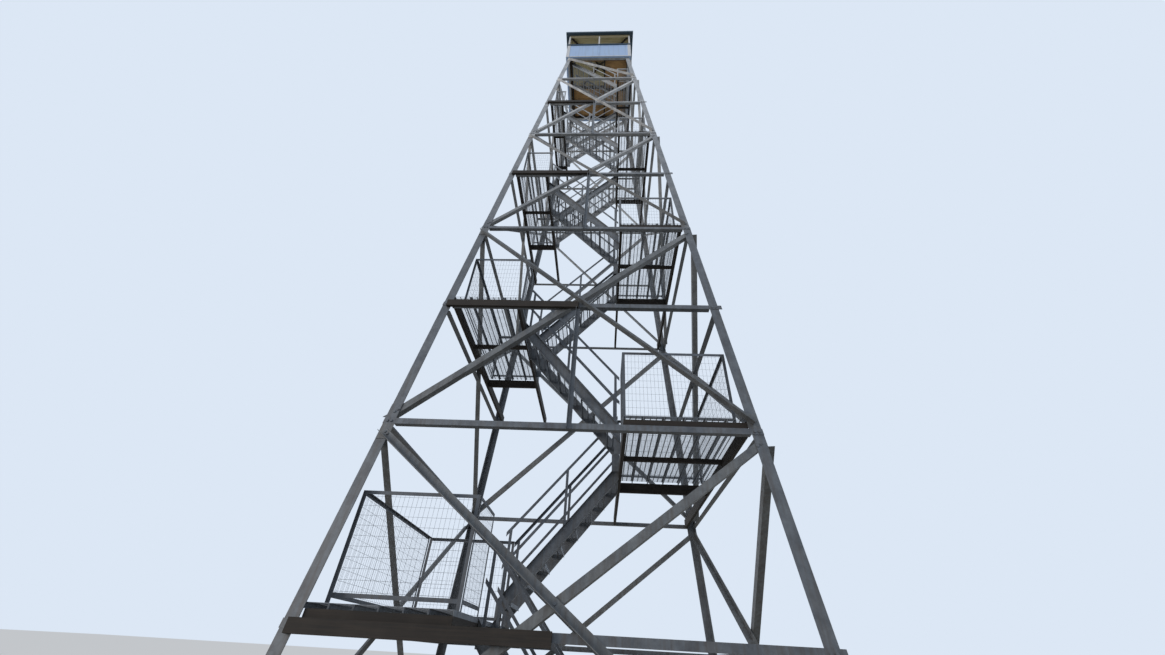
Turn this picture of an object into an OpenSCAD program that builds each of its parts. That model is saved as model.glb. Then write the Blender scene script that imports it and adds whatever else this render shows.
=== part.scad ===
// Steel lookout tower: four battered angle legs, braced sides, a zigzag stair
// with landings inside, and a small square cab on top.
// Millimetres, Z up, origin on the ground at the middle of the four feet.
// The stair starts and the landings stand toward the front, which faces -Y.

/* [Tower frame] */
// Rise from one level of side girts to the next
level_rise = 2057; // [2000:1:2120]
// Half of the width over the leg corners at the cab floor level
top_half = 1067; // [1040:1:1100]
// Lean of each side, as run over rise
batter = 0.0835; // [0.080:0.0005:0.087]
// Width of each flange of a leg angle
leg_w = 127; // [120:1:140]
// Thickness of a leg angle
leg_t = 10; // [8:1:12]

/* [Girts and braces] */
// Width of each flange of the three lowest girts of a side
girt_w_low = 76; // [70:1:80]
// Width of each flange of the girts above them
girt_w_high = 64; // [56:1:70]
// Thickness of a girt angle
girt_t = 6; // [5:1:8]
// Width of each flange of the braces in the two lower panels
brace_w_low = 89; // [76:1:92]
// Width of each flange of the braces in the upper panels
brace_w_high = 70; // [55:1:76]
// Thickness of a brace angle
brace_t = 6; // [5:1:7]
// Distance up or down the leg from a girt level to the middle of a brace end
brace_end = 125; // [115:1:150]
// Height of the lowest brace ends above the ground
brace_foot = 430; // [400:1:600]
// Distance from the leg corner to the middle of a brace end
brace_inset = 52; // [46:1:60]
// Width of the gusset plates under the outer brace ends
gusset_w = 145; // [130:1:160]
// Height of the gusset plates
gusset_h = 200; // [180:1:220]
// Width of each flange of the hangers between the front girts
hanger_w = 60; // [45:1:62]
// How far the front girts of the left landings run past the right leg
girt_over = 50; // [30:1:80]

/* [Stairs] */
// Half of the clear width between the left and right landings
stair_half = 780; // [770:1:790]
// How far the middle of the stair stands left of the middle of the tower
stair_shift = 130; // [110:1:140]
// Width of a flight over its two stringer webs
lane_w = 680; // [660:1:690]
// Steps between two landings, counted as risers
risers = 9; // [9:1:9]
// Depth of a tread from front to back
tread_w = 190; // [178:1:192]
// Depth of a stringer channel across the slope
stringer_h = 152; // [130:1:160]
// Width of a stringer channel's flanges
stringer_f = 34; // [25:1:38]
// Thickness of a stringer channel
stringer_t = 6; // [5:1:8]
// Width of the end of a stringer that hangs down over the beam of the landing below
toe_w = 90; // [70:1:120]
// How far that end reaches below the walking surface
toe_h = 150; // [100:1:160]
// Height of the handrail straight above the step noses
rail_rise = 800; // [750:1:880]

/* [Landings] */
// Height of the landing beams
beam_h = 152; // [140:1:165]
// Thickness of the landing beams
beam_t = 45; // [38:1:50]
// Distance from a side's face to the outer beam of a landing
beam_in = 132; // [130:1:140]
// Height of the joist that crosses the middle of a landing
joist_h = 64; // [50:1:80]
// Height of the front beam on the face of the tower beside a left landing
face_h = 120; // [100:1:130]
// How far the front beam hangs below the girt level
face_low = 66; // [50:1:75]
// Distance from the left leg's corner to the start of the front beam
face_in = 70; // [50:1:90]
// Depth of the grating planks on the landings and of the treads
plank_t = 48; // [40:1:48]
// Thickness of the sheet that the planks and treads are folded from
sheet_t = 3; // [2.5:0.5:4]
// Widest grating plank of a landing
plank_w = 272; // [240:1:280]
// Gap between neighbouring planks
plank_gap = 5; // [3:1:8]
// Height of the guards above the landings
guard_h = 1067; // [1000:1:1100]
// Width of a guard angle's flanges
guard_w = 38; // [32:1:44]
// Thickness of a guard angle
guard_t = 5; // [4:1:6]
// Height of the lower guard rail above the landing
guard_foot = 60; // [40:1:80]

/* [Cab] */
// Thickness of the cab walls
wall_t = 50; // [40:1:60]
// Height of the window sills above the cab floor
sill_h = 820; // [780:1:880]
// Height of the window openings
window_h = 900; // [850:1:980]
// Height of the beam over the windows
head_h = 100; // [95:1:120]
// Thickness of the cab floor
floor_t = 48; // [40:1:48]
// How far the roof runs past the walls
eave = 124; // [100:1:135]
// Height of the fascia round the roof's edge
eave_h = 80; // [60:1:90]
// Thickness of the fascia
fascia_t = 25; // [20:1:30]
// Rise of the roof from its edge to its peak
roof_rise = 330; // [280:1:380]
// Thickness of the roof, boards and sheet together, measured upright
roof_t = 40; // [30:1:50]
// Depth of the hip rafters under the roof
rafter_h = 90; // [70:1:92]
// Thickness of the hip rafters
rafter_w = 40; // [35:1:45]

/* [Feet] */
// Width of a concrete footing
pier_w = 600; // [560:1:650]
// Height of a footing above the ground
pier_h = 250; // [220:1:280]
// Width of a steel foot plate
foot_w = 320; // [300:1:340]
// Thickness of a foot plate
foot_t = 20; // [16:1:25]

/* [Hidden] */

// Colours
galvanised = [0.66, 0.68, 0.71];
dull_zinc = [0.50, 0.52, 0.55];
dark_wood = [0.26, 0.19, 0.14];
plywood = [0.62, 0.36, 0.16];
concrete = [0.62, 0.61, 0.58];
pale_paint = [0.78, 0.80, 0.82];
roof_green = [0.20, 0.24, 0.25];

// Small clearances and set-backs
end_gap = 0.3;      // between neighbouring solids of one kind
beam_clear = 2;     // between a beam end and the leg flange behind it
brace_clear = 6;    // between the braces and what stands inside them
leg_clear = 3;      // between a girt's level flange and the leg flange beside it
edge_clear = 2;     // between a gusset plate and the corner of the leg
notch_clear = 12;   // between an inner brace and the girt flange notched round it
wall_clear = 3;     // between the top girts and the cab walls hung outside them
guard_gap = 3;      // between neighbouring guard panels, and inside a landing's edge
rail_room = 12;     // between a stringer's flange and the guard beside it
hanger_clear = 4;   // between a hanger and the front beam over it
rail_in = 10;       // between the end of a stringer and the end of its rail
post_in = 40;       // between the end of a rail and the post beside it
flange_drop = 20;   // from a girt level down to the top of the girts' level flanges

levels = 8;                          // landings below the cab floor
slope_len = sqrt(1 + batter * batter);  // length along a side per unit of height
lean = atan(batter);                 // angle of a side from the vertical
leg_lean = atan(batter * sqrt(2));   // angle of a leg from the vertical
leg_half_angle = atan(1 / cos(leg_lean));  // half the angle between leg flanges
cab_z = (levels + 1) * level_rise;   // girt level under the cab floor
ground_half = top_half + batter * cab_z;
deck_top = beam_h + plank_t - flange_drop;  // walking surface above a girt level
flange_top = -flange_drop;           // top of a girt's level flange at a level
rise = level_rise / risers;
going = 2 * stair_half / (risers - 1);
slope = rise / going;
pitch = atan(slope);
stringer_v = stringer_h / cos(pitch);  // stringer depth measured upright
leg_foot = pier_h + foot_t;
floor_top = cab_z + deck_top;
sill_z = floor_top + sill_h;
head_z = sill_z + window_h;
head_top = head_z + head_h;
wall_in = top_half + girt_t + wall_clear;
wall_out = wall_in + wall_t;
roof_half = wall_out + eave;
roof_slope = roof_rise / roof_half;
stair_x = -stair_shift;
hatch_run = 1110;                    // length of the cab's hatch along the top flight
hatch_side = 30;                     // room beside the top flight in the hatch
guard_least = 180;                   // shortest guard panel at a landing's inner edge
hatch_left = stair_x - stair_half;   // edge of the hatch where the top flight ends
hatch_right = hatch_left + hatch_run;

// Front edge (Y) of the lane of each flight, from the ground upward
lanes = [-1400, -620, -1400, -620, -1400, -280, -1060, -70, -850];
// Back edge (Y) of each landing's deck
deck_back = [130, 130, 420, 200, 440, 500, 680, 680];

function lz(k) = (k + 1) * level_rise;          // height of girt level k
function half(z) = top_half + batter * (cab_z - z);  // half width at a height
function side(k) = k % 2 == 0 ? -1 : 1;         // landing k stands left or right
function girt_w(k) = k < 3 ? girt_w_low : girt_w_high;
function girt_low(k) = lz(k) + flange_top - girt_t;  // underside of girt k
function deck_out(k) =                          // outer edge of landing k's deck
    half(lz(k) + deck_top) - (leg_t + brace_w_low) * slope_len - brace_clear;
function beam_end(k) =                          // half length of the beams at level k
    half(lz(k) + deck_top) - leg_t * slope_len - beam_clear;
function beam_out(k) = half(lz(k) + deck_top) - beam_in;
function guard_line(k) =                        // outer face of landing k's guards
    half(lz(k) + deck_top + guard_h) - (leg_t + brace_w_low) * slope_len - brace_clear;
// Distance outward from the stair's middle, on landing k's side, of what stands
// at a distance x from the tower's middle
function from_stair(k, x) = x - side(k) * stair_x;

// Children drawn for a stair on the Y axis, put in its place and turned to side s
module on_stair(s) {
    translate([stair_x, 0, 0]) mirror([s < 0 ? 1 : 0, 0, 0]) children();
}

// An angle from p to q in the plane of a side, its second flange on the +Z side
module brace(p, q, w) {
    d = q - p;
    translate([p[0], p[1], 0]) rotate([0, 0, atan2(d[1], d[0])])
        translate([0, -w / 2, 0]) union() {
            cube([norm(d), w, brace_t]);
            cube([norm(d), brace_t, w]);
        }
}

// Puts children drawn on the XY plane onto side f, with Z pointing outward
module on_side(f) {
    rotate([0, 0, 90 * f]) translate([0, -ground_half, 0])
        rotate([90 - lean, 0, 0]) children();
}

// Heights of the brace ends: lower ends of the crossed pairs, then upper ends
starts = [brace_foot, for (j = [1, 3, 5]) lz(j) + brace_end];
ends = [for (j = [1, 3, 5, 7]) lz(j) - brace_end];
function brace_w(j) = j < 2 ? brace_w_low : brace_w_high;
function inset(z) = half(z) - brace_inset;
// Middle of the inner brace of pair j at height z
function inner_u(j, z) = -inset(starts[j])
    + (inset(starts[j]) + inset(ends[j])) * (z - starts[j]) / (ends[j] - starts[j]);
// Half of the level width of the inner brace of pair j
function inner_half(j) = brace_w(j) / 2 * norm([inset(starts[j]) + inset(ends[j]),
    ends[j] - starts[j]]) / (ends[j] - starts[j]);

// A gusset plate on the leg at side s (-1 or 1), from height z up
module gusset(s, z) {
    z1 = z + gusset_h;
    linear_extrude(girt_t) polygon([
        [s * (half(z) - edge_clear), z * slope_len],
        [s * (half(z1) - edge_clear), z1 * slope_len],
        [s * (half(z1) - gusset_w), z1 * slope_len],
        [s * (half(z) - gusset_w), z * slope_len]]);
}

// Braces of one side: crossed pairs over two levels, and one under the cab. Those
// that fall to the right lie outside the girts, on gusset plates; those that rise
// to the right lie against the inside of the legs.
module side_braces(f) {
    a = [each starts, lz(7) + brace_end];
    b = [each ends, cab_z - brace_end];
    on_side(f) for (j = [0:4]) {
        translate([0, 0, girt_t + end_gap])
            brace([-inset(b[j]), b[j] * slope_len], [inset(a[j]), a[j] * slope_len],
                brace_w(j));
        gusset(-1, girt_low(2 * j + (j < 4 ? 1 : 0)) - end_gap - gusset_h);
        gusset(1, j == 0 ? brace_foot - gusset_h / 2
            : girt_low(2 * j - 1) + girt_w(2 * j - 1) + end_gap);
        if (j < 4) translate([0, 0, -leg_t]) mirror([0, 0, 1])
            brace([-inset(a[j]), a[j] * slope_len], [inset(b[j]), b[j] * slope_len],
                brace_w(j));
    }
}

// The girts of one side: angles on the face of the legs, the upright flange
// outside and the level flange turned in between the legs. The upright flange
// runs past the leg corners by e0 on the left and e1[k] on the right.
module side_girts(f, e0, e1) {
    for (k = [0:8]) {
        zb = girt_low(k);
        zt = zb + girt_w(k);
        reach = half(zt) - leg_w - leg_clear;
        on_side(f) linear_extrude(girt_t) polygon([
            [-half(zb) - e0, zb * slope_len], [half(zb) + e1[k], zb * slope_len],
            [half(zt) + e1[k], zt * slope_len], [-half(zt) - e0, zt * slope_len]]);
        // the level flange is notched where an inner brace passes behind the girt
        crossed = k % 2 == 0 && k < 8;
        u = crossed ? inner_u(k / 2, zb) : 0;
        h = crossed ? inner_half(k / 2) + notch_clear : 0;
        spans = crossed ? [[-reach, u - h], [u + h, reach]] : [[-reach, reach]];
        rotate([0, 0, 90 * f]) for (s = spans)
            translate([s[0], -half(zb) - girt_t / 2, zb])
                cube([s[1] - s[0], girt_w(k), girt_t]);
    }
}

// The girts of the left or right side end against those of the front and back
module short_girts(f) { side_girts(f, -end_gap, [for (k = [0:8]) -end_gap]); }

// Hangers in the middle of the front, from the front beams of the left landings
// down to the next girts
module hangers() {
    on_side(0) for (k = [2, 4, 6]) {
        z0 = girt_low(k - 1);
        len = (lz(k) - face_low - hanger_clear - z0) * slope_len;
        translate([-hanger_w / 2, z0 * slope_len, girt_t + end_gap]) union() {
            cube([hanger_w, len, girt_t]);
            cube([girt_t, len, hanger_w]);
        }
    }
}

// One leg: an angle whose flanges lie in the planes of two sides
module leg(f) {
    c = cos(leg_half_angle);
    s = sin(leg_half_angle);
    top = cab_z + deck_top - floor_t;
    rotate([0, 0, 90 * f]) intersection() {
        translate([-ground_half, -ground_half, 0]) rotate([0, leg_lean, 45])
            linear_extrude(top * 1.05)
                polygon([[0, 0], [leg_w * c, -leg_w * s],
                    [leg_w * c + leg_t * s, -leg_w * s + leg_t * c], [leg_t / s, 0],
                    [leg_w * c + leg_t * s, leg_w * s - leg_t * c],
                    [leg_w * c, leg_w * s]]);
        translate([-ground_half - leg_w, -ground_half - leg_w, leg_foot])
            cube([ground_half + leg_w, ground_half + leg_w, top - leg_foot]);
    }
}

module footings() {
    c = half(leg_foot) - leg_w / 3;
    color(concrete) for (f = [0:3]) rotate([0, 0, 90 * f])
        translate([-c - pier_w / 2, -c - pier_w / 2, 0]) cube([pier_w, pier_w, pier_h]);
}

module foot_plates() {
    c = half(leg_foot) - leg_w / 3;
    color(dull_zinc) for (f = [0:3]) rotate([0, 0, 90 * f])
        translate([-c - foot_w / 2, -c - foot_w / 2, pier_h]) cube([foot_w, foot_w, foot_t]);
}

module leg_front_left() { color(galvanised) leg(0); }
module leg_front_right() { color(galvanised) leg(1); }
module leg_back_right() { color(galvanised) leg(2); }
module leg_back_left() { color(galvanised) leg(3); }

module girts_front() {
    color(galvanised) {
        side_girts(0, girt_t, [for (k = [0:8]) k % 2 == 0 && k < 8 ? girt_over : girt_t]);
        hangers();
    }
}
module girts_right() { color(galvanised) short_girts(1); }
module girts_back() { color(galvanised) side_girts(2, girt_t, [for (k = [0:8]) girt_t]); }
module girts_left() { color(galvanised) short_girts(3); }

module braces_front() { color(galvanised) side_braces(0); }
module braces_right() { color(galvanised) side_braces(1); }
module braces_back() { color(galvanised) side_braces(2); }
module braces_left() { color(galvanised) side_braces(3); }

// Two beams of each landing from the front girt to the back girt: one at its
// inner edge and one near the side of the tower
module landing_beams() {
    color(dark_wood) for (k = [0:levels - 1]) {
        size = [beam_t, 2 * beam_end(k), beam_h];
        z = lz(k) + flange_top;
        on_stair(side(k)) for (x = [stair_half, from_stair(k, beam_out(k)) - beam_t])
            translate([x, -beam_end(k), z]) cube(size);
    }
}

// Joists of each landing between its two beams, the middle one shallow, and the
// front beam on the face of the tower beside each left landing
module landing_joists() {
    color(dark_wood) for (k = [0:levels - 1]) {
        front = -beam_end(k);
        back = deck_back[k] - beam_t;
        x0 = stair_half + beam_t;
        x1 = from_stair(k, beam_out(k)) - beam_t;
        on_stair(side(k)) translate([x0, 0, lz(k) + flange_top]) {
            for (y = [front, back]) translate([0, y, 0]) cube([x1 - x0, beam_t, beam_h]);
            translate([0, (front + back) / 2, beam_h - joist_h])
                cube([x1 - x0, beam_t, joist_h]);
        }
        if (side(k) < 0) on_side(0)
            translate([face_in - half(lz(k)), (lz(k) - face_low) * slope_len,
                girt_t + end_gap])
                cube([half(lz(k)) - face_in, face_h, beam_t]);
    }
}

// A folded grating plank along Y: a sheet on top with a flange down each side
module plank(w, len) {
    cube([sheet_t, len, plank_t]);
    translate([w - sheet_t, 0, 0]) cube([sheet_t, len, plank_t]);
    translate([0, 0, plank_t - sheet_t]) cube([w, len, sheet_t]);
}

// Grating planks of one landing
module deck(k) {
    width = from_stair(k, deck_out(k)) - stair_half;
    count = ceil(width / plank_w);
    step = width / count;
    front = -beam_end(k);
    on_stair(side(k)) for (i = [0:count - 1])
        translate([stair_half + i * step, front, lz(k) + flange_top + beam_h])
            plank(step - plank_gap, deck_back[k] - front);
}

module deck_0() { color(dull_zinc) deck(0); }
module deck_1() { color(dull_zinc) deck(1); }
module deck_2() { color(dull_zinc) deck(2); }
module deck_3() { color(dull_zinc) deck(3); }
module deck_4() { color(dull_zinc) deck(4); }
module deck_5() { color(dull_zinc) deck(5); }
module deck_6() { color(dull_zinc) deck(6); }
module deck_7() { color(dull_zinc) deck(7); }

// Height of the line through the step noses of flight n at x. The first nose is
// over the edge of the landing below, one rise up. A flight climbs toward -X;
// flights that climb the other way are mirrored.
function start_z(n) = n == 0 ? lz(0) + deck_top - level_rise : lz(n - 1) + deck_top;
function nose(n, x) = start_z(n) + rise + (stair_half - x) * slope;
function nose_foot(n) =              // where that line meets the ground or landing
    stair_half + ((n == 0 ? start_z(0) : 0) + rise) / slope;
function foot_x(n) = n == 0 ? nose_foot(n) : stair_half;  // where the stringers start

// One stringer channel of flight n with its web at y and flanges toward -Y
module stringer(n, y) {
    x0 = foot_x(n);
    x1 = -stair_half;
    f = stringer_t / cos(pitch);
    low = n == 0 ? 0 : start_z(n) - toe_h;
    // a flat strip along the slope between two depths below the noses
    module strip(d0, d1, depth) {
        rotate([90, 0, 0]) linear_extrude(depth) intersection() {
            polygon([[x0, nose(n, x0) - d0], [x1, nose(n, x1) - d0],
                [x1, nose(n, x1) - d1], [x0, nose(n, x0) - d1]]);
            translate([x1, low]) square([x0 - x1, nose(n, x1) - low]);
        }
    }
    translate([0, y, 0]) {
        strip(0, stringer_v, stringer_t);
        strip(0, f, stringer_t + stringer_f);
        strip(stringer_v - f, stringer_v, stringer_t + stringer_f);
        // the end over the beam of the landing below is web alone
        if (n > 0) rotate([90, 0, 0]) linear_extrude(stringer_t)
            polygon([[x0, low], [x0, nose(n, x0) - f],
                [x0 - toe_w, nose(n, x0 - toe_w) - f], [x0 - toe_w, low]]);
    }
}

// One tread of flight n: a short grating plank across the lane, i steps up
module tread(n, i) {
    part = i / (n == 0 ? risers + 1 : risers);
    nosing = nose_foot(n) - part * (nose_foot(n) + stair_half);
    translate([nosing - tread_w, lanes[n] + stringer_t + end_gap,
        nose(n, nosing) - plank_t])
        plank(tread_w, lane_w - 2 * (stringer_t + end_gap));
}

// Flight n: two stringers with a channel section and the treads between them
module flight(n) {
    on_stair(n % 2 == 1 ? -1 : 1) {
        color(galvanised) stringer(n, lanes[n] + stringer_t);
        color(galvanised) translate([0, 2 * lanes[n] + lane_w, 0]) mirror([0, 1, 0])
            stringer(n, lanes[n] + stringer_t);
        color(dull_zinc) for (i = [1:n == 0 ? risers : risers - 1]) tread(n, i);
    }
}

module flight_0() { flight(0); }
module flight_1() { flight(1); }
module flight_2() { flight(2); }
module flight_3() { flight(3); }
module flight_4() { flight(4); }
module flight_5() { flight(5); }
module flight_6() { flight(6); }
module flight_7() { flight(7); }
module flight_8() { flight(8); }

// Rail of flight n over the stringer at y: posts, a middle rail and a handrail
module stair_rail(n, y) {
    x0 = foot_x(n) - rail_in;
    x1 = -stair_half + rail_in;
    v = guard_w / cos(pitch);
    t = guard_t / cos(pitch);
    module band(h0, h1, depth) {
        rotate([90, 0, 0]) linear_extrude(depth)
            polygon([[x0, nose(n, x0) + h0], [x0, nose(n, x0) + h1],
                [x1, nose(n, x1) + h1], [x1, nose(n, x1) + h0]]);
    }
    translate([0, y, 0]) {
        for (x = [x0 - post_in, (x0 + x1) / 2, x1 + post_in + guard_w])
            rotate([90, 0, 0]) linear_extrude(guard_t)
                polygon([[x, nose(n, x)], [x, nose(n, x) + rail_rise - t],
                    [x - guard_w, nose(n, x - guard_w) + rail_rise - t],
                    [x - guard_w, nose(n, x - guard_w)]]);
        band(rail_rise - v, rail_rise, guard_t);
        band(rail_rise / 2 - v, rail_rise / 2, guard_t);
        translate([0, guard_w - guard_t, 0]) band(rail_rise - t, rail_rise, guard_w);
    }
}

// Both rails of flight n
module flight_rails(n) {
    out = stringer_f / 2;
    on_stair(n % 2 == 1 ? -1 : 1) {
        stair_rail(n, lanes[n] - out);
        translate([0, 2 * lanes[n] + lane_w, 0]) mirror([0, 1, 0])
            stair_rail(n, lanes[n] - out);
    }
}

module stair_rails_front() { color(galvanised) for (n = [0:2:8]) flight_rails(n); }
module stair_rails_back() { color(galvanised) for (n = [1:2:7]) flight_rails(n); }

// A guard panel along +X from the origin: two posts and two rails of angle
module guard_panel(len) {
    cube([guard_w, guard_t, guard_h]);
    translate([len - guard_w, 0, 0]) cube([guard_w, guard_t, guard_h]);
    for (z = [guard_foot, guard_h - guard_w])
        translate([0, 0, z]) cube([len, guard_t, guard_w]);
    translate([0, 0, guard_h - guard_t]) cube([len, guard_w, guard_t]);
}

// Guards of landing k: front, outer side and back, and the inner edge where
// no flight starts or ends
module landing_guards(k) {
    g = guard_line(k);
    out = from_stair(k, g);
    back = deck_back[k] - guard_w;
    x0 = stair_half + guard_gap;
    a = min(lanes[k], lanes[k + 1]);
    b = max(lanes[k], lanes[k + 1]);
    room = stringer_f + rail_room;
    inner = [[-g + guard_w + guard_gap, a - room], [a + lane_w + room, b - room],
        [b + lane_w + room, back - guard_gap]];
    on_stair(side(k)) translate([0, 0, lz(k) + deck_top]) {
        translate([x0, -g, 0]) guard_panel(out - x0);
        translate([out, -g + guard_w + guard_gap, 0]) rotate([0, 0, 90])
            guard_panel(back + g - guard_w - 2 * guard_gap);
        translate([out, back + guard_w, 0]) rotate([0, 0, 180]) guard_panel(out - x0);
        for (s = inner) if (s[1] - s[0] > guard_least)
            translate([x0, s[1], 0]) rotate([0, 0, -90]) guard_panel(s[1] - s[0]);
    }
}

module guards_left() { color(galvanised) for (k = [0:2:6]) landing_guards(k); }
module guards_right() { color(galvanised) for (k = [1:2:7]) landing_guards(k); }

// Cab floor beams from the front girt to the back girt
module cab_floor_beams() {
    e = beam_end(8);
    color(dark_wood) for (x = [-e, hatch_left - beam_t, hatch_right, e - beam_t])
        translate([x, -e, cab_z + flange_top]) cube([beam_t, 2 * e, beam_h]);
}

// Short joists between the cab floor beams, clear of the hatch
module cab_floor_joists() {
    e = beam_end(8);
    hatch_back = lanes[8] + lane_w + stringer_f + hatch_side;
    color(dark_wood) translate([0, 0, cab_z + flange_top]) {
        for (y = [hatch_back, (hatch_back + e) / 2, e - beam_t])
            translate([hatch_left, y, 0]) cube([hatch_run, beam_t, beam_h]);
        for (y = [-e, -beam_t / 2, e - beam_t])
            translate([hatch_right + beam_t, y, 0])
                cube([e - hatch_right - 2 * beam_t, beam_t, beam_h]);
    }
}

// Cab floor: four sheets laid round the hatch over the top flight
module cab_floor() {
    h0 = lanes[8] - stringer_f - hatch_side;
    h1 = lanes[8] + lane_w + stringer_f + hatch_side;
    color(plywood) translate([0, 0, floor_top - floor_t]) {
        translate([-wall_in, h1, 0]) cube([2 * wall_in, wall_in - h1, floor_t]);
        translate([-wall_in, -wall_in, 0])
            cube([2 * wall_in, h0 + wall_in, floor_t]);
        translate([-wall_in, h0 + end_gap, 0])
            cube([wall_in + hatch_left, h1 - h0 - 2 * end_gap, floor_t]);
        translate([hatch_right, h0 + end_gap, 0])
            cube([wall_in - hatch_right, h1 - h0 - 2 * end_gap, floor_t]);
    }
}

// Wall panels from the underside of the floor beams to the window sills
module cab_walls() {
    z = cab_z + flange_top;
    color(pale_paint) for (f = [0:3]) rotate([0, 0, 90 * f]) {
        a = f % 2 == 0 ? wall_out : wall_in - end_gap;
        translate([-a, -wall_out, z]) cube([2 * a, wall_t, sill_z - z]);
    }
}

// Corner posts and the posts in the middle of each side
module cab_posts() {
    color(pale_paint) for (f = [0:3]) rotate([0, 0, 90 * f]) {
        translate([-wall_out, -wall_out, sill_z]) cube([wall_t, wall_t, window_h]);
        translate([-wall_t / 2, -wall_out, sill_z]) cube([wall_t, wall_t, window_h]);
    }
}

// Beams over the windows
module cab_heads() {
    color(pale_paint) for (f = [0:3]) rotate([0, 0, 90 * f]) {
        a = f % 2 == 0 ? wall_out : wall_in - end_gap;
        translate([-a, -wall_out, head_z]) cube([2 * a, wall_t, head_h]);
    }
}

// Height of the roof's underside at distance x from its middle
function under(x) = head_top + end_gap + (wall_out - x) * roof_slope;

// Hip rafters from the inner corners of the window heads to the peak
module rafters() {
    d0 = rafter_w / 2 + end_gap;
    d1 = sqrt(2) * wall_in - d0;
    function top(d) = under((d + rafter_w / 2) / sqrt(2)) - end_gap;
    color(dark_wood) for (i = [0:3]) rotate([0, 0, 45 + 90 * i]) rotate([90, 0, 0])
        linear_extrude(rafter_w, center = true)
            polygon([[d0, top(d0)], [d1, top(d1)], [d1, top(d1) - rafter_h],
                [d0, top(d0) - rafter_h]]);
}

// A four-sided solid from height z up, with the given half width, edge and peak
module hip(w, z, edge, peak) {
    intersection_for (a = [0, 90]) rotate([0, 0, a]) rotate([90, 0, 0])
        linear_extrude(2 * w, center = true)
            polygon([[-w, z], [w, z], [w, edge], [0, peak], [-w, edge]]);
}

// Low hipped roof: boards and sheet of one thickness, with a fascia round the edge
module roof() {
    edge = under(roof_half) + roof_t;
    low = edge - eave_h;
    w = roof_half - fascia_t;
    color(roof_green) difference() {
        hip(roof_half, low, edge, edge + roof_rise);
        hip(w, low - 1, under(w), under(0));
    }
}

footings();
foot_plates();
leg_front_left();
leg_front_right();
leg_back_right();
leg_back_left();
girts_front();
girts_right();
girts_back();
girts_left();
braces_front();
braces_right();
braces_back();
braces_left();
landing_beams();
landing_joists();
deck_0();
deck_1();
deck_2();
deck_3();
deck_4();
deck_5();
deck_6();
deck_7();
flight_0();
flight_1();
flight_2();
flight_3();
flight_4();
flight_5();
flight_6();
flight_7();
flight_8();
stair_rails_front();
stair_rails_back();
guards_left();
guards_right();
cab_floor_beams();
cab_floor_joists();
cab_floor();
cab_walls();
cab_posts();
cab_heads();
rafters();
roof();
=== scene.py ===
import math

import bpy
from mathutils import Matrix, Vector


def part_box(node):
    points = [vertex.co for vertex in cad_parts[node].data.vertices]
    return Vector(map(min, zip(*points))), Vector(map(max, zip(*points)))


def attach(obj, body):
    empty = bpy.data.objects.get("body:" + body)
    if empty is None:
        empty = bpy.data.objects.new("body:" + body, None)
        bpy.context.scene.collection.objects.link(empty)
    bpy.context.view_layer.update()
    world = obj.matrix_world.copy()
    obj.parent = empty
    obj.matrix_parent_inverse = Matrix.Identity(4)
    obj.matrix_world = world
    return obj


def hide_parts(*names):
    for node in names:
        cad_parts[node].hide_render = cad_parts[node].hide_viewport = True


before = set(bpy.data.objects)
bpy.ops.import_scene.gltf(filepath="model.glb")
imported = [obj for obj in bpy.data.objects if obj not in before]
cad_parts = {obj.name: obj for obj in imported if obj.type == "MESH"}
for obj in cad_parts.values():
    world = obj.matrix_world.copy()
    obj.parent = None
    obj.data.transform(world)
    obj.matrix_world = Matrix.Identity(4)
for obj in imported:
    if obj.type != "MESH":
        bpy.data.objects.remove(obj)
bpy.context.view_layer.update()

# The eye of the picture: a wide lens held at head height in front of the tower
# and tipped up toward the cab.
camera = bpy.data.objects.new("camera", bpy.data.cameras.new("camera"))
camera.location = (0.4135, -6.9954, 1.9390)
camera.rotation_euler = [math.radians(a) for a in (127.9326, -2.7022, 1.7917)]
camera.data.sensor_width = 36
camera.data.lens = 13.142
camera.data.clip_end = 600
bpy.context.collection.objects.link(camera)
bpy.context.scene.camera = camera
bpy.context.scene.view_settings.view_transform = "Standard"


# Studio: an even pale surround seen by the eye and by glossy steel, a weaker light
# for everything else, and one broad soft lamp that stands low at the front left.
def linear(code):
    """Turns an sRGB hex colour into linear RGBA."""
    parts = [int(code[i:i + 2], 16) / 255 for i in (1, 3, 5)]
    return [c / 12.92 if c <= 0.04045 else ((c + 0.055) / 1.055) ** 2.4 for c in parts] + [1]


def add(tree, kind, inputs=None, **settings):
    """Adds a node with its settings. An input is a value, the socket that feeds it, or
    the node whose first live output feeds it."""
    node = tree.nodes.new(kind)
    for name, value in settings.items():
        setattr(node, name, value)
    for name, value in (inputs or {}).items():
        if isinstance(value, bpy.types.Node):
            value = next(socket for socket in value.outputs if socket.enabled)
        if isinstance(value, bpy.types.NodeSocket):
            tree.links.new(value, node.inputs[name])
        else:
            node.inputs[name].default_value = value
    return node


world = bpy.data.worlds.new("studio")
bpy.context.scene.world = world
world.use_nodes = True
t = world.node_tree
t.nodes.clear()
ray = add(t, "ShaderNodeLightPath").outputs
seen = add(t, "ShaderNodeMath", {0: ray["Is Camera Ray"], 1: ray["Is Glossy Ray"]},
           operation="MAXIMUM")
seen = add(t, "ShaderNodeMath", {0: seen, 1: ray["Is Transmission Ray"]}, operation="MAXIMUM")
light = add(t, "ShaderNodeBackground", {"Color": linear("#F1F4F8"), "Strength": 0.65})
surround = add(t, "ShaderNodeBackground", {"Color": linear("#DCE7F5"), "Strength": 1.0})
both = add(t, "ShaderNodeMixShader", {0: seen, 1: light, 2: surround})
add(t, "ShaderNodeOutputWorld", {"Surface": both})
lamp = bpy.data.objects.new("lamp", bpy.data.lights.new("lamp", "SUN"))
lamp.data.energy = 2.0
lamp.data.angle = math.radians(25)
lamp.data.color = linear("#FFF1E2")[:3]
lamp.rotation_euler = (math.radians(77), 0, math.radians(-60))
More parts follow.
